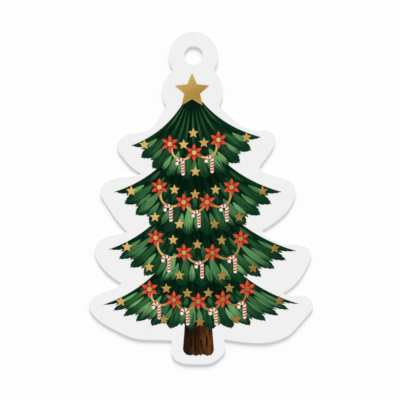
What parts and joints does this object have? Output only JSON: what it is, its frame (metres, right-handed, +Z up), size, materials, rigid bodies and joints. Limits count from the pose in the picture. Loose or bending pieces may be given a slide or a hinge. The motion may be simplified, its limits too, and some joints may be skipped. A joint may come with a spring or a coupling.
{
  "type": "gift tag",
  "caption": "Flat die-cut card hang tag shaped like a tiered fir tree, with a round eye and punched hole at the top and a printed, foil-stamped decorated tree on its face.",
  "frame": {"origin": "centre of the hang hole on the back face of the card", "axes": "+Z up, from the trunk towards the eye as the tag hangs; -Y out of the printed face; +X to the right as the face is read"},
  "size_m": [0.0607, 0.0008, 0.0901],
  "materials": {
    "white_card": "uncoated white paper, smooth",
    "paste": "dried paste",
    "brown_ink": "matt ink",
    "dark_brown_ink": "matt ink",
    "dark_green_ink": "matt ink",
    "mid_green_ink": "matt ink",
    "light_green_ink": "matt ink",
    "gold_foil": "gold-lacquered stamping foil",
    "red_ink": "matt ink",
    "cream_ink": "matt ink"
  },
  "bodies": {
    "root": {"back_sheet": "white_card", "bark_lines": "dark_brown_ink", "bloom_centres": "gold_foil", "bloom_petals": "red_ink", "cane_bodies": "cream_ink", "cane_stripes": "red_ink", "front_sheet": "white_card", "paste_layer": "paste", "small_stars": "gold_foil", "star_topper": "gold_foil", "tier_1_boughs": "dark_green_ink", "tier_1_light_strokes": "light_green_ink", "tier_1_mid_strokes": "mid_green_ink", "tier_1_swag": "gold_foil", "tier_2_boughs": "dark_green_ink", "tier_2_light_strokes": "light_green_ink", "tier_2_mid_strokes": "mid_green_ink", "tier_2_swag": "gold_foil", "tier_3_boughs": "dark_green_ink", "tier_3_light_strokes": "light_green_ink", "tier_3_mid_strokes": "mid_green_ink", "tier_3_swag": "gold_foil", "tier_4_boughs": "dark_green_ink", "tier_4_light_strokes": "light_green_ink", "tier_4_mid_strokes": "mid_green_ink", "tier_4_swag": "gold_foil", "trunk": "brown_ink"}
  },
  "joints": []
}
